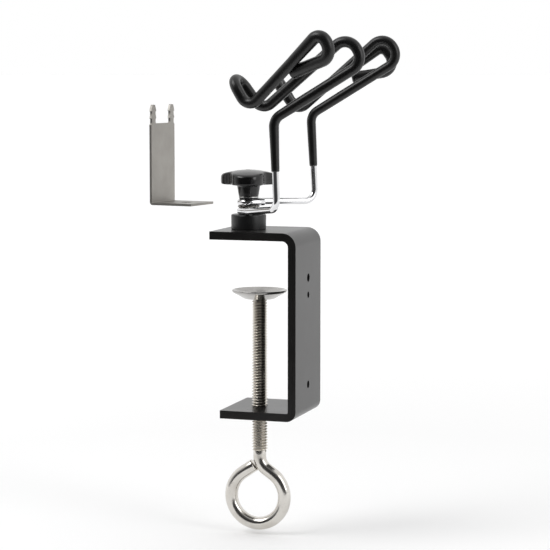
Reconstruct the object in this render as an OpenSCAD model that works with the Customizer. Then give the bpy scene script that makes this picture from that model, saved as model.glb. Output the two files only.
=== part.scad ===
// Holder for two airbrushes that clamps to a table edge, with a loose prong bracket.
// Millimetres, +Z up. The origin is on the clamping face under the upper jaw, on the
// axis of the clamp screw. +X runs from the jaws to the spine.

/* [Clamp frame] */
// Width of the steel strip
strip_w = 42; // [30:1:60]
// Thickness of the steel strip
strip_t = 4; // [3:0.5:5]
// Clear height between the jaws
jaw_gap = 84.5; // [70:0.5:110]
// Distance from the clamp screw axis to the inside of the spine
throat = 21.4; // [18:0.1:40]
// Reach of the upper jaw past the clamp screw axis
upper_reach = 19; // [16:0.5:30]
// Reach of the lower jaw past the clamp screw axis
lower_reach = 13.8; // [12:0.1:30]
// Inside radius of the upper bend
upper_bend_r = 3; // [1:0.5:6]
// Inside radius of the lower bend
lower_bend_r = 0.8; // [0.5:0.1:4]
// Depths of the three spine holes below the upper jaw
spine_hole_drop = [19.4, 27.9, 72.7];
// Diameters of the three spine holes
spine_hole_d = [4.2, 3.2, 3.8];

/* [Stud and knob] */
// Distance from the clamp screw axis to the stud axis, away from the spine
stud_offset = 5.7; // [5:0.1:8]
// Diameter of the stud
stud_d = 4.8; // [4:0.1:5]
// Diameter of the spacer hub
hub_d = 17.5; // [14:0.5:24]
// Height of the spacer hub
hub_h = 7.4; // [4:0.1:15]
// Radius of each knob lobe
lobe_r = 8; // [6:0.5:9]
// Distance of the lobe centres from the knob axis
lobe_offset = 7; // [6:0.5:9]
// Turn of the lobes about the knob axis
lobe_turn = 45; // [0:1:119]
// Height of the knob's lobed head at its middle
knob_head_h = 7.4; // [5:0.1:12]
// Height of the knob's stem
knob_stem_h = 5.9; // [4:0.1:12]

/* [Wire holders] */
// Diameter of the steel wire
wire_d = 3.4; // [2.5:0.1:4]
// Diameter over the dipped coating on the lower holder's cradle
lower_coat_d = 5.3; // [4.6:0.1:6]
// Diameter over the dipped coating on the upper holder's cradle
upper_coat_d = 4.8; // [4.6:0.1:6]
// Diameter over the dipped coating on the legs
coat_leg_d = 4.4; // [4.2:0.1:4.6]
// Inner diameter of the eye round the stud
eye_d = 5; // [4.9:0.1:6]
// Length of the eye's cut end past its bend
eye_tail = 6.5; // [2:0.5:8]
// Height where the coating starts on the legs
coat_start_z = 34.3; // [28:0.1:48]
// Bend radius at the foot of the leg
foot_bend_r = 5.7; // [4:0.1:8]
// Bend radius at the top of the leg
leg_bend_r = 6.5; // [4:0.1:8]
// Bend radius of the loop next to the leg
inner_loop_r = 6.6; // [5:0.1:6.8]
// Bend radius of the crook
crook_r = 5.3; // [4:0.1:5.4]

/* [Clamp screw] */
// Outside diameter of the screw thread
screw_d = 7.9; // [6:0.1:9]
// Diameter of the rod that forms the eye
rod_d = 6.5; // [5:0.1:7]
// Depth of the pressure disc's rim below the upper jaw
disc_drop = 26.1; // [5:0.1:60]
// Radius of the pressure disc
disc_r = 13.8; // [10:0.1:17]
// Height of the pressure disc
disc_h = 4.5; // [3:0.1:8]
// Centre line radius of the bent eye
ring_r = 14; // [11:0.1:18]

/* [Prong bracket] */
// Width of the bracket
bracket_w = 22.9; // [18:0.1:40]
// Length of the bracket's foot
bracket_foot = 23.6; // [18:0.1:40]
// Height of the bracket to the tips of its prongs
bracket_h = 50; // [35:0.1:70]
// Thickness of the bracket's sheet
bracket_t = 1.2; // [0.8:0.1:2]

/* [Hidden] */
$fn = 96;
// How far straights run into bends, and how much thicker bends are all round
lap = 0.3;
swell = 0.03;
// Running clearance between a shaft and its bore
run_fit = 0.05;
stud_x = -stud_offset;
hub_top = strip_t + hub_h;
eye_gap = 0.9;
lower_eye_z = hub_top + wire_d / 2 + 0.05;
upper_eye_z = lower_eye_z + wire_d + eye_gap;
stack_top = upper_eye_z + wire_d / 2 + 0.05;
friction_t = 0.5;
pressure_t = 0.6;
knob_z = stack_top + friction_t + pressure_t;
head_z = knob_z + knob_stem_h;
stem_low_r = 4.9;
stem_high_r = 5.75;
insert_d = 7.6;
insert_h = 8;
stud_top = knob_z + insert_h - 1.5;
screw_r = screw_d / 2;
thread_end = -108.5;
ring_half_angle = 55.5;
ring_x = -1;
ring_z = thread_end - 22.2;
ring_bend_r = 8;
// Gap between the eye's cut end and the crossing of its two straights
ring_cut = 2;
disc_floor_z = -disc_drop - disc_h;
disc_sheet = 1.1;
spigot_r = 2.9;
bracket_pos = [-54.5, -10, 15.5];
bracket_turn = -9.3;
prong_w = 5;
prong_h = 9.3;
barb = 0.8;

function unit(v) = v / norm(v);
function clamp1(x) = min(1, max(-1, x));
// Distance from corner i of a path to the ends of its bend of radius r
function setback(p, i, r) = let (u = unit(p[i] - p[i - 1]), v = unit(p[i + 1] - p[i]))
    r * tan(acos(clamp1(u * v)) / 2);

// Round bar from a to b
module bar(a, b, d) {
    v = b - a;
    translate(a) rotate([0, acos(clamp1(v.z / norm(v))), atan2(v.y, v.x)])
        cylinder(d = d, h = norm(v));
}

// Bend of radius r about the corner b of the path a, b, c
module bend(a, b, c, r, d) {
    u = unit(b - a);
    v = unit(c - b);
    turn = acos(clamp1(u * v));
    start = b - u * r * tan(turn / 2);
    centre = b + unit(v - u) * r / cos(turn / 2);
    x = unit(start - centre);
    z = cross(x, u);
    upright = norm([x.x, x.y]) < 0.0001;
    yaw = upright ? 0 : atan2(x.y, x.x);
    roll = upright ? atan2(-z.y, u.y) : atan2(u.z, z.z);
    translate(centre) rotate([roll, -asin(clamp1(x.z)), yaw])
        rotate_extrude(angle = turn) translate([r, 0]) circle(d = d);
}

// Bent rod of diameter d through the corners p with bend radii r. Its first straight may
// have another diameter. Bends are swell thicker all round, and straights run lap into them.
module bent(p, r, d, first_d = 0) {
    last = len(p) - 1;
    back = [for (i = [0:last]) i == 0 || i == last ? 0 : setback(p, i, r[i]) - lap];
    for (i = [1:last]) {
        u = unit(p[i] - p[i - 1]);
        bar(p[i - 1] + u * back[i - 1], p[i] - u * back[i], i == 1 && first_d > 0 ? first_d : d);
    }
    for (i = [1:last - 1]) bend(p[i - 1], p[i], p[i + 1], r[i], d + 2 * swell);
}

// Corners of each holder's wire from the foot of the leg to the free end, as
// [distance from the stud along X, distance outwards along Y, height]
lower_corners = [
    [24.7, 31, 16.2], [23.2, 31, 59.4],
    [68, 31, 86.5], [60, 31, 99.4],
    [17.5, 31, 63.2], [5.9, 31, 79],
    [6.4, 42, 77.3], [14.1, 42, 64.2],
    [53, 53.5, 100.4], [59.6, 53, 89.2], [37.6, 44.3, 82]
];
upper_corners = [
    [25.1, 31, 16.6], [22.8, 31, 60.2],
    [69.3, 31, 88.2], [61.3, 31, 100.8],
    [15.6, 31, 61.3], [3, 31, 78.5],
    [3.2, 42, 76.6], [11.3, 42, 62.8],
    [54, 54.5, 95], [63.2, 54, 82.8], [41.5, 46, 79]
];
corner_r = [
    foot_bend_r, leg_bend_r, inner_loop_r, inner_loop_r, crook_r, crook_r, crook_r, crook_r,
    4, 6, 0
];

// Corners of the eye, whose wire leaves the stud towards the foot of the leg
function eye_corners(foot, z) = let (
    r = (eye_d + wire_d) / 2,
    side = r + 0.1,
    reach = norm([foot.x, foot.y]),
    heading = atan2(foot.y, foot.x) - asin(side / reach),
    ahead = [cos(heading), sin(heading), 0],
    outward = [-sin(heading), cos(heading), 0],
    centre = [0, 0, z]
) [
    centre - outward * side + ahead * eye_tail,
    centre - outward * side - ahead * r,
    centre + outward * side - ahead * r,
    centre + outward * side + ahead * eye_tail
];

// Path of a holder on the -Y side (side = -1) or the +Y side (side = 1)
function holder_path(corners, z, side) = [
    for (p = concat(eye_corners(corners[0], z), corners)) [stud_x + p.x, side * p.y, p.z]
];
holder_r = concat([0, (eye_d + wire_d) / 2, (eye_d + wire_d) / 2, 12], corner_r);

// Stretch of a path from corner a to corner b
function stretch(list, a, b) = [for (i = [a:b]) list[i]];

lower_path = holder_path(lower_corners, lower_eye_z, -1);
upper_path = holder_path(upper_corners, upper_eye_z, 1);

// Point on the leg at height z
function on_leg(path, z) = path[4] + (path[5] - path[4]) * (z - path[4].z) / (path[5].z - path[4].z);

// Dipped coating round a holder's wire, thicker on the cradle than on the leg
module coating(path, cradle_d) {
    last = len(path) - 1;
    tip = path[last] + unit(path[last] - path[last - 1]);
    difference() {
        bent(concat([on_leg(path, coat_start_z)], stretch(path, 5, last - 1), [tip]),
            concat([0], stretch(holder_r, 5, last)), cradle_d, coat_leg_d);
        bent(path, holder_r, wire_d);
    }
}

// Outline with round corners on its +X side
module c_outline(x0, x1, z0, z1, top_r, bottom_r) {
    translate([x0, z0 + bottom_r]) square([x1 - x0, z1 - z0 - top_r - bottom_r]);
    translate([x0, z0]) square([x1 - x0 - bottom_r, bottom_r]);
    translate([x0, z1 - top_r]) square([x1 - x0 - top_r, top_r]);
    translate([x1 - bottom_r, z0 + bottom_r]) circle(r = bottom_r);
    translate([x1 - top_r, z1 - top_r]) circle(r = top_r);
}

// Flat strip bent into a C, drilled for the stud, the screw and wall screws
module clamp_frame() {
    color("#1d1d1f") difference() {
        rotate([90, 0, 0]) linear_extrude(strip_w, center = true) difference() {
            c_outline(-upper_reach, throat + strip_t, -jaw_gap - strip_t, strip_t,
                upper_bend_r + strip_t, lower_bend_r + strip_t);
            c_outline(-upper_reach - 1, throat, -jaw_gap, 0, upper_bend_r, lower_bend_r);
            translate([-upper_reach - 1, -jaw_gap - strip_t - 1])
                square([upper_reach - lower_reach + 1, strip_t + 2]);
        }
        translate([stud_x, 0, -1]) cylinder(d = stud_d, h = strip_t + 2);
        translate([stud_x, 0, -0.01]) cylinder(d1 = stud_d + 4.02, d2 = stud_d, h = 2.01);
        translate([0, 0, -jaw_gap - strip_t - 1]) cylinder(r = screw_r + run_fit, h = strip_t + 2);
        for (i = [0:len(spine_hole_drop) - 1])
            translate([throat - 1, 0, -spine_hole_drop[i]]) rotate([0, 90, 0])
                cylinder(d = spine_hole_d[i], h = strip_t + 2);
    }
}

// Plain round spacer that lifts the holders off the jaw
module spacer_hub() {
    color("#161618") translate([stud_x, 0, strip_t]) difference() {
        union() {
            cylinder(d = hub_d, h = hub_h - 0.4);
            translate([0, 0, hub_h - 0.4]) cylinder(d1 = hub_d, d2 = hub_d - 0.8, h = 0.4);
        }
        translate([0, 0, -1]) cylinder(d = stud_d, h = hub_h + 2);
    }
}

// Countersunk screw through the upper jaw, with a hexagon socket in its head
module stud_screw() {
    color("silver") translate([stud_x, 0, 0]) difference() {
        union() {
            translate([0, 0, 0.2]) cylinder(d1 = stud_d + 3.6, d2 = stud_d, h = 1.8);
            translate([0, 0, 2]) cylinder(d = stud_d, h = stud_top - 2);
        }
        translate([0, 0, -1]) cylinder(d = 3.2, h = 3, $fn = 6);
    }
}

module lower_wire_holder() {
    color("gainsboro") bent(lower_path, holder_r, wire_d);
}

module lower_wire_coating() {
    color("#151516") coating(lower_path, lower_coat_d);
}

module upper_wire_holder() {
    color("gainsboro") bent(upper_path, holder_r, wire_d);
}

module upper_wire_coating() {
    color("#151516") coating(upper_path, upper_coat_d);
}

// Locking washer between the two eyes, with teeth round its edge
module toothed_washer() {
    color("#8c8c88") translate([stud_x, 0, lower_eye_z + wire_d / 2 + 0.05]) difference() {
        union() {
            cylinder(r = 4.4, h = eye_gap - 0.1);
            for (i = [0:11]) rotate(i * 30) translate([4.1, -0.6, 0]) cube([1.3, 1.2, eye_gap - 0.1]);
        }
        translate([0, 0, -1]) cylinder(d = stud_d + 0.2, h = eye_gap + 2);
    }
}

// Flat washer of outer diameter d and thickness t at height z
module flat_washer(z, d, t) {
    translate([stud_x, 0, z]) difference() {
        cylinder(d = d, h = t);
        translate([0, 0, -1]) cylinder(d = stud_d + 0.2, h = t + 2);
    }
}

module friction_washer() {
    color("#26262a") flat_washer(stack_top, 9, friction_t);
}

module pressure_washer() {
    color("silver") flat_washer(stack_top + friction_t, 10, pressure_t);
}

// Knob with three lobes, a shallow dome and a tapered stem
module knob() {
    color("#101011") translate([stud_x, 0, 0]) difference() {
        union() {
            translate([0, 0, knob_z]) cylinder(r1 = stem_low_r, r2 = stem_high_r, h = knob_stem_h);
            translate([0, 0, head_z - 1]) cylinder(r = stem_high_r - 0.2, h = 3);
            intersection() {
                translate([0, 0, head_z]) linear_extrude(knob_head_h + 1)
                    for (i = [0:2]) rotate(i * 120 + lobe_turn) translate([lobe_offset, 0])
                        circle(r = lobe_r);
                translate([0, 0, head_z]) rotate_extrude() polygon([
                    [0, -1], [17, -1], [17, knob_head_h - 3.4], [10, knob_head_h - 1.2],
                    [5, knob_head_h - 0.3], [0, knob_head_h]
                ]);
            }
        }
        translate([0, 0, knob_z - 1]) cylinder(d = insert_d, h = insert_h + 1);
    }
}

// Threaded bush moulded into the knob's stem
module knob_insert() {
    color("#b9a06a") translate([stud_x, 0, knob_z]) difference() {
        cylinder(d = insert_d, h = insert_h);
        translate([0, 0, -1]) cylinder(r = stud_d / 2 + run_fit, h = insert_h + 2);
    }
}

// Clamp screw: thread, bent eye and the spigot that holds the disc
module clamp_screw() {
    centre = [ring_x, 0, ring_z];
    right = centre + ring_r * [cos(ring_half_angle), 0, sin(ring_half_angle)];
    left = centre + ring_r * [-cos(ring_half_angle), 0, sin(ring_half_angle)];
    down = [sin(ring_half_angle), 0, -cos(ring_half_angle)];
    up = [down.x, 0, -down.z];
    strand = ring_r / tan(ring_half_angle);
    corner = [0, 0, ring_z + ring_r / sin(ring_half_angle) + ring_x / tan(ring_half_angle)];
    color("#c9c5bb") {
        translate([0, 0, thread_end]) cylinder(r = screw_r, h = disc_floor_z - 0.1 - thread_end);
        translate([0, 0, disc_floor_z - 1]) cylinder(r = spigot_r, h = disc_sheet + 2);
        translate([0, 0, disc_floor_z + disc_sheet + 0.1]) cylinder(r1 = 4.2, r2 = 2.6, h = 1.8);
        bent([[0, 0, thread_end + 2], corner, right + down * lap], [0, ring_bend_r, 0], rod_d);
        translate(centre) rotate([90, 0, 0]) rotate(180 - ring_half_angle)
            rotate_extrude(angle = 180 + 2 * ring_half_angle) translate([ring_r, 0])
                circle(d = rod_d + 2 * swell);
        bar(left - up * lap, left + up * (strand - ring_cut), rod_d);
    }
}

// Dished disc that turns on the end of the clamp screw
module pressure_disc() {
    foot_r = disc_r * 0.55;
    color("#cfcdc8") translate([0, 0, disc_floor_z]) rotate_extrude() polygon([
        [spigot_r + run_fit, 0], [foot_r, 0], [disc_r, disc_h - 1], [disc_r, disc_h],
        [disc_r - 0.8, disc_h], [foot_r - 0.3, disc_sheet], [spigot_r + run_fit, disc_sheet]
    ]);
}

// Half outline of a barbed prong's one side, as a cut square standing out by barb
module barbs(x, side) {
    for (i = [0:1])
        translate([x, bracket_h - 3.5 - i * 3.6])
            polygon([[0, 1.2], [side * barb, 0], [side * barb, -0.8], [0, -0.8]]);
}

// Loose L-shaped bracket with two barbed prongs and a hole in its foot
module prong_bracket() {
    color("#a9a7a2") translate(bracket_pos) rotate(bracket_turn) difference() {
        union() {
            translate([0, 0, bracket_t]) rotate([90, 0, 90]) linear_extrude(bracket_t) {
                square([bracket_w, bracket_h - prong_h - bracket_t]);
                translate([0, -bracket_t]) for (y = [0, bracket_w - prong_w]) {
                    translate([y, bracket_h - prong_h]) square([prong_w, prong_h]);
                    barbs(y, -1);
                    barbs(y + prong_w, 1);
                }
            }
            cube([bracket_foot, bracket_w, bracket_t]);
        }
        translate([bracket_foot * 0.6, bracket_w / 2, -1]) cylinder(d = 5.4, h = bracket_t + 2);
    }
}

clamp_frame();
spacer_hub();
stud_screw();
lower_wire_holder();
lower_wire_coating();
toothed_washer();
upper_wire_holder();
upper_wire_coating();
friction_washer();
pressure_washer();
knob();
knob_insert();
clamp_screw();
pressure_disc();
prong_bracket();
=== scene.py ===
"""Studio model of a table clamp with two wire cradles for airbrushes and a loose prong bracket."""

import logging
import math
from dataclasses import dataclass
from enum import Enum
from typing import Callable, Optional, Sequence, Union

import bmesh
import bpy
from bmesh.types import BMEdge, BMesh, BMFace, BMVert
from bpy.types import Material, NodeSocket, Object, World
from mathutils import Matrix, Vector


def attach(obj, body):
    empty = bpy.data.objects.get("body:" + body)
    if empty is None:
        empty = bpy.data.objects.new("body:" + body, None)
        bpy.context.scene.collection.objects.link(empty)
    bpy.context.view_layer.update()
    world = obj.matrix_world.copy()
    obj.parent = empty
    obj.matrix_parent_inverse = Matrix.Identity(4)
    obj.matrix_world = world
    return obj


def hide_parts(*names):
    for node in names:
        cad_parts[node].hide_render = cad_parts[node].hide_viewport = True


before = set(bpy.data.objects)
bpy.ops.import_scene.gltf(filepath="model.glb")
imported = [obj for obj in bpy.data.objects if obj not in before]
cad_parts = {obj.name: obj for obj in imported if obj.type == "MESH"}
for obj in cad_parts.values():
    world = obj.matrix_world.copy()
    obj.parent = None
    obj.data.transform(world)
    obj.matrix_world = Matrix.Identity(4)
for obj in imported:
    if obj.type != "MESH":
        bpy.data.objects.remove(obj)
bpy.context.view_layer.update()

LOG = logging.getLogger("airbrush_holder")
MM = 0.001
UP = Vector((0.0, 0.0, 1.0))
STUD_X = -5.7
TUBE_SIDES = 28
EVEN = (1.0, 1.0, 1.0)
# The corners of a wire holder's route where its upright leg starts and ends.
FOOT = 4
KNEE = 5

Triple = tuple[float, float, float]


def mm(x: float, y: float, z: float) -> Vector:
    """Returns a point given in millimetres as a vector in metres."""
    return Vector((x, y, z)) * MM


def spoke(heading: float, length: float) -> Vector:
    """Returns a level vector with that heading and that length in millimetres."""
    return Vector((math.cos(heading), math.sin(heading), 0.0)) * length * MM


# --- shader maths ---


class Sock:
    """An output socket that arithmetic can be written on."""

    def __init__(self, shader: "Shader", socket: NodeSocket) -> None:
        """Keeps the socket and the shader that its nodes are added to."""
        self.shader = shader
        self.socket = socket

    def _join(self, operation: str, first: "Value", second: "Value") -> "Sock":
        """Returns the result of one Math node."""
        return self.shader.node("ShaderNodeMath", {"operation": operation}, {0: first, 1: second})

    def __add__(self, other: "Value") -> "Sock":
        """Returns self + other."""
        return self._join("ADD", self, other)

    __radd__ = __add__

    def __sub__(self, other: "Value") -> "Sock":
        """Returns self - other."""
        return self._join("SUBTRACT", self, other)

    def __mul__(self, other: "Value") -> "Sock":
        """Returns self * other."""
        return self._join("MULTIPLY", self, other)

    __rmul__ = __mul__


Value = Union[Sock, float, int, Sequence[float]]


class Shader:
    """The nodes of a material or a world, with one method that makes any node."""

    def __init__(self, owner: Union[Material, World]) -> None:
        """Empties the owner's node tree."""
        owner.use_nodes = True
        self.owner = owner
        self.tree = owner.node_tree
        self.tree.nodes.clear()

    def node(
        self,
        kind: str,
        settings: Optional[dict[str, object]] = None,
        values: Optional[dict[Union[int, str], Value]] = None,
        out: Union[int, str] = 0,
    ) -> Sock:
        """Adds a node.

        Args:
            kind: the node's type.
            settings: its properties, set first; "stops" holds a ramp's stops.
            values: what its inputs hold or are linked to.
            out: the output that is wanted.

        Returns:
            That output.
        """
        made = self.tree.nodes.new(kind)
        for key, setting in (settings or {}).items():
            if key == "stops":
                ramp = made.color_ramp
                while len(ramp.elements) < len(setting):
                    ramp.elements.new(0.5)
                for element, (place, tint) in zip(ramp.elements, setting):
                    element.position = place
                    element.color = tint
            else:
                setattr(made, key, setting)
        for key, value in (values or {}).items():
            if isinstance(value, Sock):
                self.tree.links.new(value.socket, made.inputs[key])
            else:
                made.inputs[key].default_value = value
        return Sock(self, made.outputs[out])

    def place(self, stretch: Sequence[float] = EVEN) -> Sock:
        """Returns object coordinates, stretched along each axis."""
        coords = self.node("ShaderNodeTexCoord", out="Object")
        return self.node("ShaderNodeMapping", {}, {"Vector": coords, "Scale": stretch})

    def noise(self, at: Sock, scale: float, detail: float) -> Sock:
        """Returns noise from 0 to 1 whose features are about 1 / scale metres across."""
        return self.node("ShaderNodeTexNoise", {"noise_dimensions": "3D"}, {
            "Vector": at, "Scale": scale, "Detail": detail, "Roughness": 0.5,
        })

    def ramp(self, factor: Sock, low: float, high: float) -> Sock:
        """Returns factor stretched so that low becomes 0 and high becomes 1."""
        stops = [(low, (0.0, 0.0, 0.0, 1.0)), (high, (1.0, 1.0, 1.0, 1.0))]
        return self.node("ShaderNodeValToRGB", {"stops": stops}, {"Fac": factor})

    def tint(self, mask: Sock, first: Sequence[float], second: Sequence[float]) -> Sock:
        """Returns the first colour where the mask is 0 and the second where it is 1."""
        return self.blend(mask, (*first, 1.0), (*second, 1.0))

    def blend(self, mask: Sock, first: Value, second: Value) -> Sock:
        """Returns the first input where the mask is 0 and the second where it is 1."""
        return self.node("ShaderNodeMix", {"data_type": "RGBA"}, {0: mask, 6: first, 7: second}, out=2)

    def spread(self) -> Sock:
        """Returns the distance from the object's vertical axis in millimetres."""
        flat = self.place((1000.0, 1000.0, 0.0))
        return self.node("ShaderNodeVectorMath", {"operation": "LENGTH"}, {0: flat}, out="Value")

    def bump(self, height: Sock, depth: float, strength: float) -> Sock:
        """Returns a normal bent by a height, whose full range is depth metres."""
        return self.node("ShaderNodeBump", {}, {
            "Height": height, "Distance": depth, "Strength": strength,
        })

    def finish(self, **values: Value) -> Material:
        """Adds the surface itself.

        Args:
            values: the shader's inputs, with underscores for spaces.

        Returns:
            The finished material.
        """
        named = {key.replace("_", " "): value for key, value in values.items()}
        self.show("ShaderNodeOutputMaterial", self.node("ShaderNodeBsdfPrincipled", {}, named))
        return self.owner

    def show(self, kind: str, surface: Sock) -> None:
        """Links a surface to an output node of that kind."""
        output = self.tree.nodes.new(kind)
        self.tree.links.new(surface.socket, output.inputs["Surface"])


# --- finishes ---


@dataclass(frozen=True)
class PowderCoat:
    """Baked powder on steel: fine orange peel, and a faint grey where it was handled."""

    colour: Triple = (0.0085, 0.0080, 0.0076)
    handled: Triple = (0.0145, 0.0137, 0.0130)
    roughness: float = 0.27
    peel_size: float = 0.0008

    def material(self) -> Material:
        """Returns the coat as a material."""
        s = Shader(bpy.data.materials.new("powder_coat"))
        at = s.place()
        broad = s.noise(at, 45.0, 4.0)
        peel = s.noise(at, 1.0 / self.peel_size, 2.0)
        fine = s.noise(at, 5200.0, 2.0)
        return s.finish(
            Base_Color=s.tint(s.ramp(broad, 0.35, 0.75), self.colour, self.handled),
            Roughness=self.roughness + 0.10 * broad - 0.05 + 0.05 * fine,
            Specular_IOR_Level=0.45,
            Normal=s.bump(peel * 0.8 + fine * 0.2, 0.00006, 0.35),
        )


@dataclass(frozen=True)
class Plating:
    """Bright plate over steel, with fine marks along one axis and small stains."""

    name: str = "nickel"
    colour: Triple = (0.69, 0.665, 0.625)
    stain: Triple = (0.56, 0.53, 0.485)
    roughness: float = 0.16
    marks: Triple = (1.0, 1.0, 0.08)
    mark_depth: float = 0.000004
    # The radii over which the painted shade in the grooves fades out; (0, 0) paints none.
    groove_mm: tuple[float, float] = (0.0, 0.0)

    def material(self) -> Material:
        """Returns the plate as a material, with painted shade darkening its grooves if it has any."""
        s = Shader(bpy.data.materials.new(f"{self.name}_plate"))
        at = s.place()
        lines = s.noise(s.place(self.marks), 3800.0, 2.0)
        cloud = s.ramp(s.noise(at, 130.0, 4.0), 0.45, 0.80)
        tint = s.tint(cloud, self.colour, self.stain)
        # Painted shade: below the first radius, in the grooves, the colour falls to 0.62 of itself,
        # and it returns towards the crests.
        if self.groove_mm[1] > 0.0:
            low, high = (0.1 * edge for edge in self.groove_mm)
            crest_mask = s.ramp(s.spread() * 0.1, low, high)
            groove_shade = tuple(0.62 * c for c in self.colour)
            tint = s.blend(crest_mask, (*groove_shade, 1.0), tint)
        return s.finish(
            Base_Color=tint,
            Metallic=1.0,
            Roughness=self.roughness + 0.10 * lines - 0.05 + 0.05 * cloud,
            Normal=s.bump(lines, self.mark_depth, 0.5),
        )


@dataclass(frozen=True)
class DippedVinyl:
    """Vinyl that ran and set on the wire: glossy, slightly wavy, with a few dull marks."""

    colour: Triple = (0.0045, 0.0043, 0.0043)
    dull: Triple = (0.0085, 0.0080, 0.0078)
    roughness: float = 0.30

    def material(self) -> Material:
        """Returns the vinyl as a material."""
        s = Shader(bpy.data.materials.new("dipped_vinyl"))
        at = s.place()
        runs = s.noise(at, 260.0, 2.0)
        skin = s.noise(at, 2600.0, 2.0)
        rubbed = s.ramp(s.noise(at, 90.0, 5.0), 0.50, 0.80)
        return s.finish(
            Base_Color=s.tint(rubbed, self.colour, self.dull),
            Roughness=self.roughness + 0.10 * rubbed + 0.05 * skin,
            Specular_IOR_Level=0.50,
            Normal=s.bump(runs * 0.85 + skin * 0.15, 0.00010, 0.25),
        )


@dataclass(frozen=True)
class Moulded:
    """Moulded plastic, glossy or plain, with a fine skin."""

    name: str = "knob"
    colour: Triple = (0.0044, 0.0042, 0.0042)
    roughness: float = 0.14
    skin_depth: float = 0.00002

    def material(self) -> Material:
        """Returns the plastic as a material."""
        s = Shader(bpy.data.materials.new(f"{self.name}_plastic"))
        at = s.place()
        sink = s.noise(at, 190.0, 2.0)
        skin = s.noise(at, 3200.0, 2.0)
        worn = tuple(1.6 * c for c in self.colour)
        return s.finish(
            Base_Color=s.tint(s.ramp(sink, 0.45, 0.85), self.colour, worn),
            Roughness=self.roughness + 0.05 * skin + 0.05 * sink,
            Specular_IOR_Level=0.50,
            Normal=s.bump(sink * 0.7 + skin * 0.3, self.skin_depth, 0.5),
        )


@dataclass(frozen=True)
class SatinSheet:
    """Rolled and zinc-plated sheet: satin, with lines along the roll and grey clouds."""

    colour: Triple = (0.365, 0.35, 0.325)
    cloud: Triple = (0.325, 0.31, 0.288)
    roughness: float = 0.42

    def material(self) -> Material:
        """Returns the sheet as a material."""
        s = Shader(bpy.data.materials.new("satin_sheet"))
        lines = s.noise(s.place((1.0, 1.0, 0.05)), 4200.0, 3.0)
        clouds = s.ramp(s.noise(s.place(), 110.0, 5.0), 0.35, 0.75)
        return s.finish(
            Base_Color=s.tint(clouds, self.colour, self.cloud),
            Metallic=1.0,
            Roughness=self.roughness + 0.14 * lines - 0.07 + 0.06 * clouds,
            Normal=s.bump(lines, 0.000008, 0.5),
        )


# --- mesh operations ---


class Body(Enum):
    """The rigid bodies that pieces ride on."""

    CLAMP = "clamp"
    LOWER = "lower_holder"
    UPPER = "upper_holder"
    WASHERS = "washers"
    KNOB = "knob_body"
    DISC = "disc_body"
    SCREW = "screw_body"
    BRACKET = "bracket_body"


def edges_of(geometry: Sequence[object]) -> list[BMEdge]:
    """Returns the edges among a bmesh operator's results."""
    return [g for g in geometry if isinstance(g, BMEdge)]


def verts_of(geometry: Sequence[object]) -> list[BMVert]:
    """Returns the vertices among a bmesh operator's results."""
    return [g for g in geometry if isinstance(g, BMVert)]


def extrude_rim(bm: BMesh, rim: list[BMEdge]) -> tuple[list[BMEdge], list[BMVert]]:
    """Extrudes a rim in place and returns the new rim and its vertices."""
    made = bmesh.ops.extrude_edge_only(bm, edges=rim)["geom"]
    verts = verts_of(made)
    new = set(verts)
    return [e for e in edges_of(made) if e.verts[0] in new and e.verts[1] in new], verts


def close_ends(bm: BMesh) -> None:
    """Fills every open rim of a mesh."""
    rims = [e for e in bm.edges if e.is_boundary]
    if rims:
        bmesh.ops.holes_fill(bm, edges=rims, sides=0)


def new_piece(name: str, bm: BMesh, sharp_deg: float = 32.0) -> Object:
    """Turns a bmesh into an object at the origin.

    Args:
        name: the piece's name.
        bm: its mesh, in metres; it is freed.
        sharp_deg: edges that turn by more than this stay sharp.

    Returns:
        The object, smooth shaded between its sharp edges.
    """
    bmesh.ops.recalc_face_normals(bm, faces=bm.faces)
    mesh = bpy.data.meshes.new(name)
    bm.to_mesh(mesh)
    bm.free()
    mesh.shade_smooth()
    mesh.set_sharp_from_angle(angle=math.radians(sharp_deg))
    piece = bpy.data.objects.new(name, mesh)
    bpy.context.scene.collection.objects.link(piece)
    return piece


def apply_modifiers(piece: Object) -> None:
    """Applies a piece's modifiers to its mesh."""
    graph = bpy.context.evaluated_depsgraph_get()
    mesh = bpy.data.meshes.new_from_object(piece.evaluated_get(graph))
    mesh.name = piece.name
    piece.modifiers.clear()
    piece.data = mesh


def settle(piece: Object, sharp_deg: float = 32.0) -> None:
    """Applies a piece's modifiers and marks its sharp edges again."""
    apply_modifiers(piece)
    piece.data.shade_smooth()
    piece.data.set_sharp_from_angle(angle=math.radians(sharp_deg))


def round_edges(piece: Object, width_mm: float, segments: int = 3) -> None:
    """Gives a piece's sharp edges a small radius."""
    bevel = piece.modifiers.new("rounding", "BEVEL")
    bevel.width = width_mm * MM
    bevel.segments = segments
    bevel.limit_method = "ANGLE"
    bevel.angle_limit = math.radians(35.0)
    settle(piece)
    weighted = piece.modifiers.new("flat_faces_lead", "WEIGHTED_NORMAL")
    weighted.mode = "FACE_AREA"
    weighted.keep_sharp = True
    apply_modifiers(piece)


def carve(piece: Object, place: Matrix, low_mm: float, high_mm: float, depth_mm: float) -> None:
    """Cuts a round hole, which may taper.

    Args:
        piece: the piece that is cut.
        place: the place of the hole's middle, with its axis along Z.
        low_mm: the radius at the cutter's lower end.
        high_mm: the radius at its upper end.
        depth_mm: the cutter's length, half on each side of the middle.
    """
    bm = bmesh.new()
    bmesh.ops.create_cone(
        bm, cap_ends=True, segments=48, radius1=low_mm * MM, radius2=high_mm * MM,
        depth=depth_mm * MM, matrix=place,
    )
    bit = new_piece("drill_bit", bm)
    cut = piece.modifiers.new("hole", "BOOLEAN")
    cut.operation = "DIFFERENCE"
    cut.solver = "EXACT"
    cut.object = bit
    settle(piece)
    bpy.data.objects.remove(bit)


def drill(piece: Object, at: Vector, along: Vector, radius_mm: float) -> None:
    """Drills one straight hole through a sheet whose middle is at a point."""
    turn = along.to_track_quat("Z", "Y").to_matrix().to_4x4()
    carve(piece, Matrix.Translation(at) @ turn, radius_mm, radius_mm, 12.0)


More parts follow.
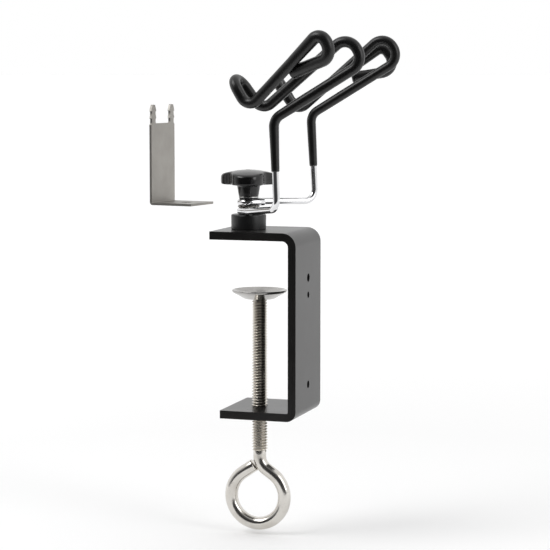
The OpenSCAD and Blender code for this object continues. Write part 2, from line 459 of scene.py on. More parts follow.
def turned(
    name: str, profile: Sequence[tuple[float, float]], centre: Vector, steps: int = 72
) -> Object:
    """Turns a closed profile about a vertical axis, as on a lathe.

    Args:
        name: the piece's name.
        profile: its corners, radius and height in millimetres.
        centre: the point on the axis that heights are counted from.
        steps: sides of a full turn.

    Returns:
        The turned piece.
    """
    bm = bmesh.new()
    corners = [bm.verts.new(centre + mm(r, 0.0, z)) for r, z in profile]
    loop = [bm.edges.new((a, b)) for a, b in zip(corners, corners[1:] + corners[:1])]
    on_axis = [e for e in loop if all(v.co.x - centre.x < 1e-7 for v in e.verts)]
    for edge in on_axis:
        bm.edges.remove(edge)
    bmesh.ops.spin(
        bm, geom=corners + list(bm.edges), cent=centre, axis=UP, angle=math.tau, steps=steps,
        use_merge=True,
    )
    bmesh.ops.remove_doubles(bm, verts=bm.verts, dist=1e-7)
    return new_piece(name, bm, 38.0)


def rounded(corners: Sequence[Triple], steps: int = 4) -> list[tuple[float, float]]:
    """Rounds the corners of a closed outline.

    Args:
        corners: each corner's two coordinates and its radius; 0 keeps it sharp.
        steps: sides of each rounding.

    Returns:
        The outline's points.
    """
    points: list[tuple[float, float]] = []
    count = len(corners)
    for i, (x, y, radius) in enumerate(corners):
        here = Vector((x, y))
        if radius <= 0.0:
            points.append((x, y))
            continue
        before = Vector(corners[i - 1][:2]) - here
        after = Vector(corners[(i + 1) % count][:2]) - here
        half = before.angle(after) / 2.0
        back = min(radius / math.tan(half), before.length * 0.49, after.length * 0.49)
        reach = back * math.tan(half)
        centre = here + (before.normalized() + after.normalized()).normalized() * (
            reach / math.sin(half)
        )
        start = here + before.normalized() * back - centre
        end = here + after.normalized() * back - centre
        sweep = start.angle_signed(end)
        for k in range(steps + 1):
            spoke = start.copy()
            spoke.rotate(Matrix.Rotation(-sweep * k / steps, 2))
            points.append(tuple(centre + spoke))
    return points


class WireBender:
    """Feeds a round wire forward, swells it and bends it, as a wire bender does."""

    def __init__(self, start: Vector, way: Vector, radius: float) -> None:
        """Starts a wire.

        Args:
            start: the centre of its cut face.
            way: the direction that it is fed in.
            radius: its radius at the cut face.
        """
        self.bm = bmesh.new()
        self.here = start.copy()
        self.way = way.normalized()
        self.radius = radius
        face = Matrix.Translation(start) @ self.way.to_track_quat("Z", "Y").to_matrix().to_4x4()
        made = bmesh.ops.create_circle(
            self.bm, cap_ends=False, segments=TUBE_SIDES, radius=radius, matrix=face
        )
        self.ring = list({e for v in made["verts"] for e in v.link_edges})

    def feed(self, length: float, radius: Optional[float] = None, steps: int = 1) -> None:
        """Feeds the wire straight on, growing it evenly to a new radius."""
        target = self.radius if radius is None else radius
        first = self.radius
        for k in range(1, steps + 1):
            self.ring, verts = extrude_rim(self.bm, self.ring)
            step = self.way * (length / steps)
            bmesh.ops.translate(self.bm, verts=verts, vec=step)
            self.here += step
            size = first + (target - first) * k / steps
            about = Matrix.Translation(-self.here)
            ratio = size / self.radius
            bmesh.ops.scale(self.bm, vec=(ratio, ratio, ratio), space=about, verts=verts)
            self.radius = size

    def bend(self, side: Vector, bend_radius: float, angle: float) -> None:
        """Bends the wire.

        Args:
            side: the direction from the wire to the bend's centre.
            bend_radius: the radius of the wire's centre line.
            angle: how far it turns.
        """
        centre = self.here + side.normalized() * bend_radius
        axis = self.way.cross(side).normalized()
        steps = max(3, math.ceil(math.degrees(angle) / 7.5))
        ring_verts = list({v for e in self.ring for v in e.verts})
        made = bmesh.ops.spin(
            self.bm, geom=ring_verts + self.ring, cent=centre, axis=axis, angle=angle, steps=steps
        )
        self.ring = edges_of(made["geom_last"])
        turn = Matrix.Rotation(angle, 3, axis)
        self.here = centre + turn @ (self.here - centre)
        self.way = (turn @ self.way).normalized()
        middle = sum((v.co for v in verts_of(made["geom_last"])), Vector()) / TUBE_SIDES
        assert (middle - self.here).length < 1e-5, "the bend went the other way"

    def cut(self, name: str) -> Object:
        """Returns the finished wire as a piece, with both its ends closed."""
        close_ends(self.bm)
        return new_piece(name, self.bm, 40.0)


@dataclass
class WirePath:
    """A bent wire's route: its corners and the bend radius at each."""

    corners: list[Vector]
    radii: list[float]

    def stretch(self, index: int) -> Vector:
        """Returns the unit direction from one corner to the next."""
        return (self.corners[index + 1] - self.corners[index]).normalized()

    def turn(self, index: int) -> float:
        """Returns how far the route turns at a corner."""
        return self.stretch(index - 1).angle(self.stretch(index))

    def back(self, index: int) -> float:
        """Returns how far before a corner its bend starts."""
        if index <= 0 or index >= len(self.corners) - 1:
            return 0.0
        return self.radii[index] * math.tan(self.turn(index) / 2.0)

    def run(self, index: int) -> float:
        """Returns the straight length after a corner's bend."""
        whole = (self.corners[index + 1] - self.corners[index]).length
        return whole - self.back(index) - self.back(index + 1)

    def bend_at(self, wire: WireBender, index: int) -> None:
        """Makes the bend at one corner."""
        after, before = self.stretch(index), self.stretch(index - 1)
        side = after - before * after.dot(before)
        wire.bend(side, self.radii[index], self.turn(index))


# --- the pieces ---


class Palette:
    """Every finish, each made into a material once."""

    def __init__(self) -> None:
        """Makes the materials."""
        self.powder = PowderCoat().material()
        self.chrome = Plating(
            "chrome", (0.78, 0.78, 0.79), (0.66, 0.66, 0.67), 0.07, EVEN, 0.000002
        ).material()
        self.nickel = Plating().material()
        self.thread = Plating(
            "thread", (0.74, 0.70, 0.635), (0.62, 0.58, 0.52), marks=EVEN,
            mark_depth=0.000002, groove_mm=(3.25, 3.85),
        ).material()
        self.disc = Plating("disc", (0.46, 0.45, 0.435), (0.30, 0.29, 0.28), 0.15, EVEN).material()
        self.zinc = Plating(
            "zinc", (0.60, 0.60, 0.59), (0.50, 0.50, 0.48), 0.26, EVEN, 0.000006
        ).material()
        self.spring = Plating(
            "spring", (0.30, 0.29, 0.27), (0.20, 0.19, 0.17), 0.34, EVEN, 0.000006
        ).material()
        self.brass = Plating(
            "brass", (0.62, 0.45, 0.20), (0.50, 0.35, 0.15), 0.25, (1.0, 1.0, 0.1), 0.000006
        ).material()
        self.vinyl = DippedVinyl().material()
        self.knob = Moulded().material()
        self.hub = Moulded("hub", (0.0095, 0.0095, 0.010), 0.34, 0.00003).material()
        self.fibre = Moulded("fibre", (0.018, 0.018, 0.020), 0.55, 0.00004).material()
        self.sheet = SatinSheet().material()


@dataclass
class Part:
    """A sub-assembly, which builds its pieces and dresses them from a palette.

    Its sizes are in millimetres. Heights count from the upper jaw's underside.
    """

    palette: Palette

    def build(self) -> None:
        """Builds the pieces; each sub-assembly has its own."""
        raise NotImplementedError

    def dress(
        self, piece: Object, body: Body, finish: Material, slot: str, *nodes: str
    ) -> None:
        """Finishes a piece and hangs it on its body.

        Args:
            piece: the piece.
            body: the body that it moves with.
            finish: its material.
            slot: not used.
            nodes: the plain solids that it stands for.
        """
        piece.data.materials.clear()
        piece.data.materials.append(finish)
        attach(piece, body.value)
        if nodes:
            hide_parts(*nodes)
        LOG.info("%s: %d faces on %s", piece.name, len(piece.data.polygons), body.value)

    def dress_solid(self, node: str, finish: Material) -> None:
        """Gives a plain solid that stays a new finish."""
        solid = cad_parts[node]
        solid.data.materials.clear()
        solid.data.materials.append(finish)
        LOG.info("%s: kept with %s", node, finish.name)


@dataclass
class StripFrame(Part):
    """The flat strip bent into a C, with rounded edges and three holes in its spine."""

    width: float = 42.0
    thickness: float = 4.0
    gap: float = 84.5
    throat: float = 21.4
    upper_reach: float = 19.0
    lower_reach: float = 13.8
    upper_bend: float = 3.0
    lower_bend: float = 0.8
    edge_rounding: float = 0.45
    spine_holes: tuple[tuple[float, float], ...] = ((19.4, 2.1), (27.9, 1.6), (72.7, 1.9))
    screw_bore: float = 4.05
    stud_bore: float = 2.45
    countersink: Triple = (4.9, 2.4, 2.5)

    def build(self) -> None:
        """Bends the strip, drills it and rounds its edges."""
        bm = bmesh.new()
        half, thick = self.width / 2.0, self.thickness
        ends = [
            bm.verts.new(mm(-self.upper_reach, side * half, height))
            for side, height in ((-1, 0.0), (1, 0.0), (1, thick), (-1, thick))
        ]
        upper, lower = self.throat - self.upper_bend, self.throat - self.lower_bend
        drop = self.gap - self.upper_bend - self.lower_bend
        section = self._feed(bm, bm.faces.new(ends), mm(upper + self.upper_reach, 0, 0))
        section = self._fold(bm, section, 12, mm(upper, 0, -self.upper_bend))
        section = self._feed(bm, section, mm(0, 0, -drop))
        section = self._fold(bm, section, 8, mm(lower, 0, -self.gap + self.lower_bend))
        self._feed(bm, section, mm(-(lower + self.lower_reach), 0, 0))
        bmesh.ops.remove_doubles(bm, verts=bm.verts, dist=1e-7)
        inner = [f for f in bm.faces if all(len(e.link_faces) > 2 for e in f.edges)]
        bmesh.ops.delete(bm, geom=inner, context="FACES_ONLY")
        piece = new_piece("c_frame", bm)
        for fall, radius in self.spine_holes:
            drill(piece, mm(self.throat + thick / 2.0, 0, -fall), Vector((1, 0, 0)), radius)
        drill(piece, mm(0, 0, -self.gap - thick / 2.0), UP, self.screw_bore)
        drill(piece, mm(STUD_X, 0, thick / 2.0), UP, self.stud_bore)
        carve(piece, Matrix.Translation(mm(STUD_X, 0, 0.75)), *self.countersink)
        round_edges(piece, self.edge_rounding)
        self.dress(piece, Body.CLAMP, self.palette.powder, "black_powder_coat", "clamp_frame")

    def _feed(self, bm: BMesh, section: BMFace, step: Vector) -> BMFace:
        """Feeds the strip's section straight on and returns it."""
        made = bmesh.ops.extrude_discrete_faces(bm, faces=[section])["faces"][0]
        bmesh.ops.translate(bm, verts=made.verts, vec=step)
        return made

    def _fold(self, bm: BMesh, section: BMFace, steps: int, centre: Vector) -> BMFace:
        """Folds the strip's section a quarter turn towards the jaws and returns it."""
        turn = Matrix.Rotation(math.pi / 2 / steps, 3, "Y")
        for _ in range(steps):
            section = bmesh.ops.extrude_discrete_faces(bm, faces=[section])["faces"][0]
            bmesh.ops.rotate(bm, verts=section.verts, cent=centre, matrix=turn)
        return section


@dataclass
class StudStack(Part):
    """The hub, stud, washers and knob on the stud's axis."""

    hub_radius: float = 8.75
    hub_bottom: float = 4.0
    hub_top: float = 11.4
    lock_bottom: float = 14.9
    lock_height: float = 0.8
    stack_top: float = 19.2

    def build(self) -> None:
        """Builds the parts from the jaw upwards."""
        axis = mm(STUD_X, 0, 0)
        hub = turned("spacer_hub_turned", rounded([
            (2.42, self.hub_bottom, 0), (self.hub_radius - 0.1, self.hub_bottom, 0.25),
            (self.hub_radius, self.hub_top, 0.7), (4.6, self.hub_top, 0.2),
            (4.3, self.hub_top - 0.3, 0.1), (2.42, self.hub_top - 0.3, 0),
        ]), axis)
        self.dress(hub, Body.CLAMP, self.palette.hub, "black_plastic", "spacer_hub")
        self._lock_washer()
        top = self.stack_top
        friction = self._washer("friction_washer_turned", top, 4.7, 0.5)
        self.dress(friction, Body.WASHERS, self.palette.fibre, "dark_washer", "friction_washer")
        pressure = self._washer("pressure_washer_turned", top + 0.5, 5.0, 0.6)
        self.dress(pressure, Body.WASHERS, self.palette.zinc, "zinc_plate", "pressure_washer")
        self.dress_solid("stud_screw", self.palette.zinc)
        self.dress_solid("knob_insert", self.palette.brass)

    def _washer(self, name: str, bottom: float, radius: float, height: float) -> Object:
        """Returns a flat washer with a pressed, rounded rim."""
        top = bottom + height
        return turned(name, rounded([
            (2.5, bottom, 0.08), (radius, bottom, 0.12), (radius, top, 0.2), (2.5, top, 0.08),
        ], 3), mm(STUD_X, 0, 0))

    def _lock_washer(self) -> None:
        """Builds the locking washer, each of whose teeth is twisted out of its plane."""
        bottom, top = self.lock_bottom + 0.15, self.lock_bottom + self.lock_height - 0.15
        ring = turned("lock_washer", rounded([
            (2.52, bottom, 0), (4.15, bottom, 0.1), (4.15, top, 0.1), (2.52, top, 0),
        ], 2), mm(STUD_X, 0, 0), 60)
        bm = bmesh.new()
        bm.from_mesh(ring.data)
        middle = (bottom + top) / 2.0
        for k in range(14):
            heading = Matrix.Rotation(math.tau * k / 14.0, 4, "Z")
            shape = (
                Matrix.Translation(mm(STUD_X, 0, middle)) @ heading
                @ Matrix.Translation(mm(4.65, 0, 0)) @ Matrix.Rotation(math.radians(17.0), 4, "X")
                @ Matrix.Diagonal((1.5 * MM, 1.15 * MM, 0.42 * MM, 1.0))
            )
            tooth = bmesh.ops.create_cube(bm, size=1.0, matrix=shape)["verts"]
            rims = list({e for v in tooth for e in v.link_edges})
            bmesh.ops.bevel(
                bm, geom=rims, offset=0.06 * MM, segments=2, profile=0.5, affect="EDGES", material=-1
            )
        bm.to_mesh(ring.data)
        bm.free()
        self.dress(ring, Body.CLAMP, self.palette.spring, "spring_steel", "toothed_washer")


@dataclass
class LobedKnob(Part):
    """The three-lobed knob: round lobes, soft valleys, a shallow dome and a tapered stem."""

    bottom: float = 20.3
    stem_low: float = 4.9
    stem_high: float = 5.75
    head_bottom: float = 26.2
    dome_top: float = 33.55
    dome_radius: float = 43.0
    lobe_radius: float = 8.0
    lobe_offset: float = 7.0
    valley_radius: float = 6.0
    turn: float = 45.0

    def outline(self, bm: BMesh) -> list[BMEdge]:
        """Spins a vertex round each lobe and each valley in turn.

        Args:
            bm: the mesh that the outline is added to.

        Returns:
            The closed outline's edges.
        """
        lobe, offset, valley = self.lobe_radius, self.lobe_offset, self.valley_radius
        half_gap = offset * math.sin(math.pi / 3.0)
        reach = math.sqrt((lobe + valley) ** 2 - half_gap**2)
        valley_centre = offset * math.cos(math.pi / 3.0) + reach
        lean = math.atan2(half_gap, reach)
        lobe_half = math.pi - math.pi / 3.0 - lean
        axis = mm(STUD_X, 0, self.head_bottom)
        for k in range(3):
            heading = math.radians(self.turn + 120.0 * k)
            centre = axis + spoke(heading, offset)
            first = bm.verts.new(centre + spoke(heading - lobe_half, lobe))
            bmesh.ops.spin(
                bm, geom=[first], cent=centre, axis=UP, angle=2 * lobe_half, steps=30
            )
            between = heading + math.pi / 3.0
            hollow = axis + spoke(between, valley_centre)
            last = bm.verts.new(hollow + spoke(between + math.pi + lean, valley))
            bmesh.ops.spin(bm, geom=[last], cent=hollow, axis=UP, angle=-2 * lean, steps=8)
        bmesh.ops.remove_doubles(bm, verts=bm.verts, dist=0.02 * MM)
        return list(bm.edges)

    def dome(self, spread: float) -> float:
        """Returns the dome's height in millimetres at a distance from its axis."""
        return self.dome_top - self.dome_radius + math.sqrt(self.dome_radius**2 - spread**2)

    def build(self) -> None:
        """Raises the head from its outline and turns the stem under it."""
        bm = bmesh.new()
        base = self.outline(bm)
        axis = mm(STUD_X, 0, 0)
        about = Matrix.Translation(-axis)
        rim, size = base, 0.93
        low = list({v for e in base for v in e.verts})
        bmesh.ops.scale(bm, vec=(size, size, 1.0), space=about, verts=low)
        for scale, rise in ((0.972, 0.12), (0.992, 0.45), (1.0, 1.0), (1.0, 3.0)):
            rim, size = self._raise(bm, rim, about, scale / size), scale
            self._set_height(rim, lambda spread, up=rise: self.head_bottom + up)
        for scale, drop in (
            (0.998, 1.25), (0.990, 0.80), (0.975, 0.42), (0.952, 0.18), (0.925, 0.05),
            (0.88, 0.0), (0.80, 0.0), (0.68, 0.0), (0.54, 0.0), (0.40, 0.0), (0.26, 0.0),
            (0.13, 0.0),
        ):
            rim, size = self._raise(bm, rim, about, scale / size), scale
            self._set_height(rim, lambda spread, less=drop: self.dome(spread) - less)
        bmesh.ops.contextual_create(bm, geom=rim)
        bmesh.ops.contextual_create(bm, geom=base)
        head = new_piece("knob_head", bm, 50.0)
        self.dress(head, Body.KNOB, self.palette.knob, "knob_plastic", "knob")
        stem = turned("knob_stem", rounded([
            (3.85, self.bottom, 0.1), (self.stem_low, self.bottom, 0.35),
            (self.stem_high, self.head_bottom - 0.9, 0.6), (7.4, self.head_bottom + 0.25, 0.1),
            (7.4, self.head_bottom + 0.6, 0), (3.85, self.head_bottom + 0.6, 0),
        ]), axis)
        self.dress(stem, Body.KNOB, self.palette.knob, "knob_plastic")

    def _raise(self, bm: BMesh, rim: list[BMEdge], about: Matrix, ratio: float) -> list[BMEdge]:
        """Extrudes the rim once and scales it about the axis."""
        raised, verts = extrude_rim(bm, rim)
        bmesh.ops.scale(bm, vec=(ratio, ratio, 1.0), space=about, verts=verts)
        return raised

    def _set_height(self, rim: list[BMEdge], height: Callable[[float], float]) -> None:
        """Puts each of the rim's vertices at a height that depends on its spread."""
        for vert in {v for e in rim for v in e.verts}:
            spread = Vector((vert.co.x - STUD_X * MM, vert.co.y)).length / MM
            vert.co.z = height(spread) * MM


@dataclass
class WireHolder(Part):
    """One bent wire with an eye, a leg and a cradle of two loops joined by a crook."""

    name: str
    body: Body
    side: int
    eye_height: float
    corners: list[Triple]
    cradle_radius: float
    drip_radius: float
    coat_start: float = 34.3
    wire_radius: float = 1.7
    eye_radius: float = 4.2
    tail: float = 6.5
    leg_radius: float = 2.2
    exit_bend: float = 12.0
    cover: float = 4.0
    least_run: float = 0.01
    bend_radii: tuple[float, ...] = (5.7, 6.5, 6.6, 6.6, 5.3, 5.3, 5.3, 5.3, 4.0, 6.0, 0.0)

    def route(self) -> WirePath:
        """Returns the wire's whole route, from the eye's cut end to the free end."""
        foot = self.corners[0]
        gap = self.eye_radius + 0.1
        heading = math.atan2(foot[1], foot[0]) - math.asin(gap / math.hypot(foot[0], foot[1]))
        ahead = Vector((math.cos(heading), math.sin(heading), 0.0))
        outward = Vector((-math.sin(heading), math.cos(heading), 0.0))
        centre = Vector((0.0, 0.0, self.eye_height))
        points = [
            centre - outward * gap + ahead * self.tail,
            centre - outward * gap - ahead * self.eye_radius,
            centre + outward * gap - ahead * self.eye_radius,
            centre + outward * gap + ahead * self.tail,
        ] + [Vector(c) for c in self.corners]
        placed = [mm(STUD_X + p.x, self.side * p.y, p.z) for p in points]
        radii = [0.0, self.eye_radius, self.eye_radius, self.exit_bend, *self.bend_radii]
        return WirePath(placed, [r * MM for r in radii])

    def build(self) -> None:
        """Bends the wire, then dips its leg and cradle."""
        path = self.route()
        self._wire(path)
        self._coating(path)

    def _wire(self, path: WirePath) -> None:
        """Bends the bare wire up to a little way inside the coating."""
        radius = self.wire_radius * MM
        wire = WireBender(path.corners[0], path.stretch(0), radius - 0.35 * MM)
        wire.feed(0.12 * MM, radius - 0.1 * MM)
        wire.feed(0.22 * MM, radius)
        wire.feed(path.run(0) - 0.34 * MM, radius, 2)
        for corner in range(1, FOOT + 1):
            path.bend_at(wire, corner)
            if corner < FOOT:
                wire.feed(max(path.run(corner), self.least_run * MM), radius, 2)
        inside = self.coat_start + self.cover
        wire.feed((inside * MM - wire.here.z) / wire.way.z, radius, 4)
        piece = wire.cut(f"{self.name}_chrome_wire")
        self.dress(piece, self.body, self.palette.chrome, "chrome_wire", f"{self.name}_wire_holder")

    def _coating(self, path: WirePath) -> None:
        """Dips the leg and the cradle: thin at the leg's lip, thicker on the cradle."""
        up, foot = path.stretch(FOOT), path.corners[FOOT]
        lip = foot + up * ((self.coat_start * MM - foot.z) / up.z)
        thin, leg = (self.wire_radius + 0.06) * MM, self.leg_radius * MM
        cradle, drip = self.cradle_radius * MM, self.drip_radius * MM
        coat = WireBender(lip, up, thin)
        coat.feed(0.25 * MM, 1.92 * MM)
        coat.feed(0.45 * MM, 2.0 * MM)
        left = (path.corners[KNEE] - coat.here).length - path.back(KNEE)
        coat.feed(left * 0.55, leg, 6)
        coat.feed(left * 0.45, (leg + cradle) / 2.0, 5)
        last = len(path.corners) - 1
        for corner in range(KNEE, last):
            path.bend_at(coat, corner)
            run = max(path.run(corner), self.least_run * MM)
            if corner == KNEE:
                coat.feed(run * 0.3, cradle, 4)
                coat.feed(run * 0.7, cradle, 3)
            elif corner >= last - 3:
                coat.feed(run * 0.6, cradle if corner < last - 2 else coat.radius, 3)
                coat.feed(run * 0.4, (cradle + drip) / 2.0 if corner < last - 1 else drip, 3)
            else:
                coat.feed(run, cradle, 3)
        for rise, size in ((0.45, 0.985), (0.45, 0.92), (0.35, 0.80), (0.20, 0.62), (0.09, 0.35)):
            coat.feed(rise * MM, drip * size)
        piece = coat.cut(f"{self.name}_dipped_coating")
        self.dress(piece, self.body, self.palette.vinyl, "dipped_vinyl", f"{self.name}_wire_coating")


@dataclass
class EyeScrew(Part):
    """The clamp screw: rolled thread, plain rod bent into an eye, and a peened spigot."""

    crest: float = 3.95
    root: float = 3.12
    pitch: float = 1.411
    thread_top: float = -30.9
    thread_end: float = -108.5
    rod: float = 3.25
    eye_radius: float = 14.0
    eye_centre: tuple[float, float] = (-1.0, -130.7)
    strand_lean: float = 55.5
    neck_bend: float = 8.0
    cut_gap: float = 2.0
    core: float = 3.0
    overlap: float = 2.4
    thread_sides: int = 30
    lower_runout: float = 2.2
    upper_runout: float = 0.9

    def build(self) -> None:
        """Rolls the thread, bends the eye and peens the spigot."""
        self._thread()
        self._eye()
        self._spigot()

    def _thread(self) -> None:
        """Rolls the thread by spinning one tooth's profile along a helix."""
        bm = bmesh.new()
        turns = round((self.thread_top - self.thread_end) / self.pitch)
        flats = [(self.root, 0.0), (self.root, 0.10), (self.crest - 0.06, 0.43), (self.crest, 0.49),
                 (self.crest, 0.57), (self.crest - 0.06, 0.63), (self.root, 0.96), (self.root, 1.0)]
        verts = [
            bm.verts.new(mm(radius, 0.0, self.thread_end + share * self.pitch))
            for radius, share in flats
        ]
        edges = [bm.edges.new(pair) for pair in zip(verts, verts[1:])]
        steps = self.thread_sides * turns
        bmesh.ops.spin(
            bm, geom=verts + edges, cent=(0, 0, 0), axis=UP,
            dvec=(0.0, 0.0, self.pitch * MM / self.thread_sides), angle=math.tau * turns, steps=steps,
        )
        bmesh.ops.remove_doubles(bm, verts=bm.verts, dist=1e-7)
        low, high = self.thread_end * MM, (self.thread_end + turns * self.pitch) * MM
        for vert in bm.verts:
            spread = Vector(vert.co.xy).length
            rise, fall = (vert.co.z - low) / MM, (high - vert.co.z) / MM
            near = min(rise / self.lower_runout, fall / self.upper_runout)
            share = min(max(near, 0.0), 1.0)
            wanted = self.root * MM + (spread - self.root * MM) * share
            vert.co.xy *= wanted / spread
        close_ends(bm)
        piece = new_piece("clamp_thread", bm, 28.0)
        self.dress(piece, Body.SCREW, self.palette.thread, "nickel_plate", "clamp_screw")

    def _eye(self) -> None:
        """Bends the rod under the thread into an eye whose cut end meets its neck."""
        lean = math.radians(self.strand_lean)
        down = Vector((math.sin(lean), 0.0, -math.cos(lean)))
        centre_x, centre_z = self.eye_centre
        corner_z = centre_z + self.eye_radius / math.sin(lean) + centre_x / math.tan(lean)
        radius = self.rod * MM
        rod = WireBender(mm(0, 0, self.thread_end + self.overlap), -UP, self.core * MM)
        rod.feed(self.overlap * MM, radius, 3)
        back = self.neck_bend * math.tan(lean / 2.0)
        rod.feed(self.thread_end * MM - (corner_z + back) * MM, radius, 2)
        rod.bend(Vector((1, 0, 0)), self.neck_bend * MM, lean)
        reach, rise = self.eye_radius * math.cos(lean), self.eye_radius * math.sin(lean)
        right = mm(centre_x + reach, 0, centre_z + rise)
        rod.feed((right - rod.here).dot(down), radius, 2)
        inward = Vector((-math.cos(lean), 0, -math.sin(lean)))
        rod.bend(inward, self.eye_radius * MM, math.pi + 2 * lean)
        strand = self.eye_radius / math.tan(lean) - self.cut_gap
        rod.feed((strand - 0.5) * MM, radius, 2)
        rod.feed(0.3 * MM, radius - 0.1 * MM)
        rod.feed(0.2 * MM, radius - 0.4 * MM)
        piece = rod.cut("screw_eye")
        self.dress(piece, Body.SCREW, self.palette.nickel, "nickel_plate")

    def _spigot(self) -> None:
        """Turns the shoulder, the spigot and the head that was peened over the disc."""
        spigot = turned("peened_spigot", rounded([
            (0, -32.4, 0), (3.15, -32.4, 0), (3.15, -30.75, 0.2), (2.9, -30.75, 0),
            (2.9, -29.4, 0), (4.1, -29.4, 0.3), (3.9, -28.2, 0.9), (2.0, -27.55, 0.8), (0, -27.5, 0),
        ]), Vector(), 56)
        self.dress(spigot, Body.SCREW, self.palette.nickel, "nickel_plate")


@dataclass
class DishedDisc(Part):
    """The pressed disc on the end of the clamp screw, with a rolled rim."""

    rim: float = 13.8
    rim_top: float = -26.1
    floor: float = -30.6
    foot: float = 7.6
    sheet: float = 1.1

    def build(self) -> None:
        """Presses the disc from sheet."""
        disc = turned("pressure_disc_pressed", rounded([
            (2.95, self.floor, 0), (self.foot, self.floor, 1.2),
            (self.rim - 0.4, self.rim_top - 1.25, 0.9), (self.rim, self.rim_top - 0.55, 0.35),
            (self.rim - 0.15, self.rim_top, 0.3), (self.rim - 0.95, self.rim_top - 0.02, 0.25),
            (self.foot - 0.3, self.floor + self.sheet, 1.4), (2.95, self.floor + self.sheet, 0),
        ], 5), Vector(), 96)
        self.dress(disc, Body.DISC, self.palette.disc, "nickel_plate", "pressure_disc")


@dataclass
class ProngBracket(Part):
    """The loose bracket cut and folded from sheet, with two barbed prongs."""

    corner: Triple = (-54.5, -10.0, 15.5)
    turn: float = -9.3
    width: float = 22.9
    foot: float = 23.6
    height: float = 50.0
    sheet: float = 1.2
    fold: float = 0.9
    prong_width: float = 5.0
    prong_height: float = 9.3
    inset: float = 0.75
    barb: float = 0.8
    barb_drops: tuple[float, float] = (6.9, 3.3)
    hole_radius: float = 2.7

    def prong(self, left: float) -> list[Triple]:
        """Returns one prong's outline, up its right side and down its left."""
        low, top = self.height - self.prong_height, self.height
        near, far = left + self.inset, left + self.prong_width - self.inset
        out = [(far, low, 0.7 if left == 0 else 0.0)]
        for drop in self.barb_drops:
            row = top - drop
            out += [(far, row, 0), (far + self.barb, row, 0.15), (far, row + 2.0, 0)]
        out += [(far - 0.5, top, 0.8), (near + 0.5, top, 0.8)]
        for drop in reversed(self.barb_drops):
            row = top - drop
            out += [(near, row + 2.0, 0), (near - self.barb, row, 0.15), (near, row, 0)]
        out.append((near, low, 0.7 if left > 0 else 0.0))
        return out

    def build(self) -> None:
        """Cuts the blank, folds it, punches its hole and breaks its edges."""
        bm = bmesh.new()
        bend = self.fold + self.sheet / 2.0
        shoulder = self.height - self.prong_height - 0.6
        outline = [(0, bend, 0), (self.width, bend, 0), (self.width, shoulder, 0.4)]
        outline += self.prong(self.width - self.prong_width) + self.prong(0.0)
        outline.append((0, shoulder, 0.4))
        middle = self.sheet / 2.0
        bm.faces.new([bm.verts.new(mm(middle, y, z)) for y, z in rounded(outline, 3)])
        low = [e for e in bm.edges if all(abs(v.co.z - bend * MM) < 1e-7 for v in e.verts)]
        made = bmesh.ops.spin(
            bm, geom=list({v for e in low for v in e.verts}) + low,
            cent=mm(bend, 0, bend), axis=Vector((0, 1, 0)), angle=-math.pi / 2, steps=8,
        )
        toe = edges_of(made["geom_last"])
        run = bmesh.ops.extrude_edge_only(bm, edges=toe)["geom"]
        bmesh.ops.translate(bm, verts=verts_of(run), vec=mm(self.foot - bend, 0, 0))
        piece = new_piece("folded_bracket", bm)
        thick = piece.modifiers.new("sheet", "SOLIDIFY")
        thick.thickness = self.sheet * MM
        thick.offset = 0.0
        thick.use_even_offset = True
        settle(piece)
        drill(piece, mm(self.foot * 0.6, self.width / 2.0, middle), UP, self.hole_radius)
        round_edges(piece, 0.16, 2)
        turn = Matrix.Rotation(math.radians(self.turn), 4, "Z")
        piece.data.transform(Matrix.Translation(mm(*self.corner)) @ turn)
        self.dress(piece, Body.BRACKET, self.palette.sheet, "satin_steel", "prong_bracket")


# --- the studio ---


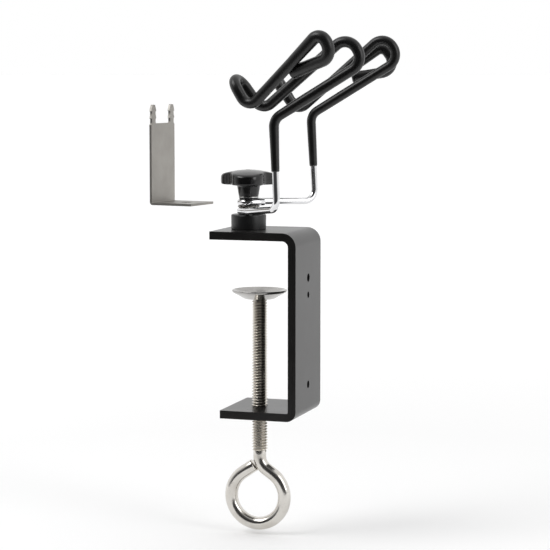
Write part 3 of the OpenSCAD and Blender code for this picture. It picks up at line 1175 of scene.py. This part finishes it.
@dataclass
class Studio:
    """A pale floor and surround, soft boxes and the camera."""

    floor_height: float = -0.150
    floor_reach: float = 0.25
    lens: float = 133.8
    place: Triple = (0.3205, -0.961, 0.084)
    tilt_deg: float = 84.2
    heading_deg: float = 18.01

    def build(self) -> None:
        """Sets out the whole studio."""
        self._floor()
        self._surround()
        self._box("key_box", Vector((-0.9, -0.75, 1.25)), 0.9, 0.9, 11.0)
        self._box("fill_box", Vector((1.3, -0.5, 0.6)), 0.5, 1.1, 5.0)
        self._camera()

    def _floor(self) -> None:
        """Lays the floor, with a painted glow that is faint near the object and full away from it."""
        bm = bmesh.new()
        middle = Matrix.Translation((0.0, 30.0 - self.floor_reach, self.floor_height))
        bmesh.ops.create_grid(bm, x_segments=2, y_segments=2, size=30.0, matrix=middle)
        floor = new_piece("studio_floor", bm)
        s = Shader(bpy.data.materials.new("pale_floor"))
        grain = s.noise(s.place(), 40.0, 2.0)
        # Painted light: the floor glows dimly within about 0.3 m of the object, so that its shadow
        # shows, and fully beyond about 1.2 m.
        far = s.ramp(s.spread() * 0.0005, 0.15, 0.60)
        painted_glow = s.tint(far, (0.22, 0.22, 0.22), (1.0, 1.0, 1.0))
        floor.data.materials.append(s.finish(
            Base_Color=(0.88, 0.88, 0.88, 1.0), Roughness=0.75 + 0.05 * grain,
            Emission_Color=painted_glow, Emission_Strength=0.32,
        ))

    def _surround(self) -> None:
        """Makes the surround: bright behind and above, dim behind the camera."""
        world = bpy.data.worlds.new("studio_surround")
        bpy.context.scene.world = world
        s = Shader(world)
        way = s.node("ShaderNodeTexCoord", out="Generated")
        behind = s.node("ShaderNodeSeparateXYZ", {}, {0: way}, out="Y")
        stops = [(0.13, (0.05, 0.05, 0.052, 1.0)), (0.46, (1.0, 1.0, 1.0, 1.0))]
        shade = s.node("ShaderNodeValToRGB", {"stops": stops}, {"Fac": behind * 0.5 + 0.5})
        lit = s.node("ShaderNodeBackground", {}, {"Color": shade})
        seen = s.node("ShaderNodeBackground", {}, {"Color": (1.0, 1.0, 1.0, 1.0)})
        direct = s.node("ShaderNodeLightPath", out="Is Camera Ray")
        mix = s.node("ShaderNodeMixShader", {}, {0: direct, 1: lit, 2: seen})
        s.show("ShaderNodeOutputWorld", mix)

    def _box(self, name: str, place: Vector, width: float, height: float, power: float) -> None:
        """Hangs one soft box and aims it at the object."""
        light = bpy.data.lights.new(name, "AREA")
        light.shape = "RECTANGLE"
        light.size = width
        light.size_y = height
        light.energy = power
        lamp = bpy.data.objects.new(name, light)
        bpy.context.scene.collection.objects.link(lamp)
        lamp.location = place
        lamp.rotation_euler = (-place).to_track_quat("-Z", "Y").to_euler()

    def _camera(self) -> None:
        """Sets up the camera."""
        lens = bpy.data.cameras.new("studio_camera")
        lens.lens = self.lens
        lens.sensor_width = 36.0
        lens.clip_start = 0.01
        lens.clip_end = 100.0
        camera = bpy.data.objects.new("studio_camera", lens)
        camera.location = self.place
        camera.rotation_euler = (math.radians(self.tilt_deg), 0.0, math.radians(self.heading_deg))
        bpy.context.scene.collection.objects.link(camera)
        bpy.context.scene.camera = camera


LOWER_CORNERS: list[Triple] = [
    (24.7, 31, 16.2), (23.2, 31, 59.4), (68, 31, 86.5), (60, 31, 99.4), (17.5, 31, 63.2),
    (5.9, 31, 79), (6.4, 42, 77.3), (14.1, 42, 64.2), (53, 53.5, 100.4), (59.6, 53, 89.2),
    (37.6, 44.3, 82),
]
UPPER_CORNERS: list[Triple] = [
    (25.1, 31, 16.6), (22.8, 31, 60.2), (69.3, 31, 88.2), (61.3, 31, 100.8), (15.6, 31, 61.3),
    (3, 31, 78.5), (3.2, 42, 76.6), (11.3, 42, 62.8), (54, 54.5, 95), (63.2, 54, 82.8),
    (41.5, 46, 79),
]


def main() -> None:
    """Builds the object and its studio, in order."""
    logging.basicConfig(level=logging.INFO, format="%(name)s: %(message)s")
    bpy.context.scene.view_settings.view_transform = "Standard"
    palette = Palette()
    parts: list[Part] = [
        StripFrame(palette),
        StudStack(palette),
        LobedKnob(palette),
        WireHolder(palette, "lower", Body.LOWER, -1, 13.15, LOWER_CORNERS, 2.65, 3.35),
        WireHolder(palette, "upper", Body.UPPER, 1, 17.45, UPPER_CORNERS, 2.4, 3.1),
        EyeScrew(palette),
        DishedDisc(palette),
        ProngBracket(palette),
    ]
    for part in parts:
        part.build()
    Studio().build()
    bpy.context.view_layer.update()


if __name__ == "__main__":
    main()
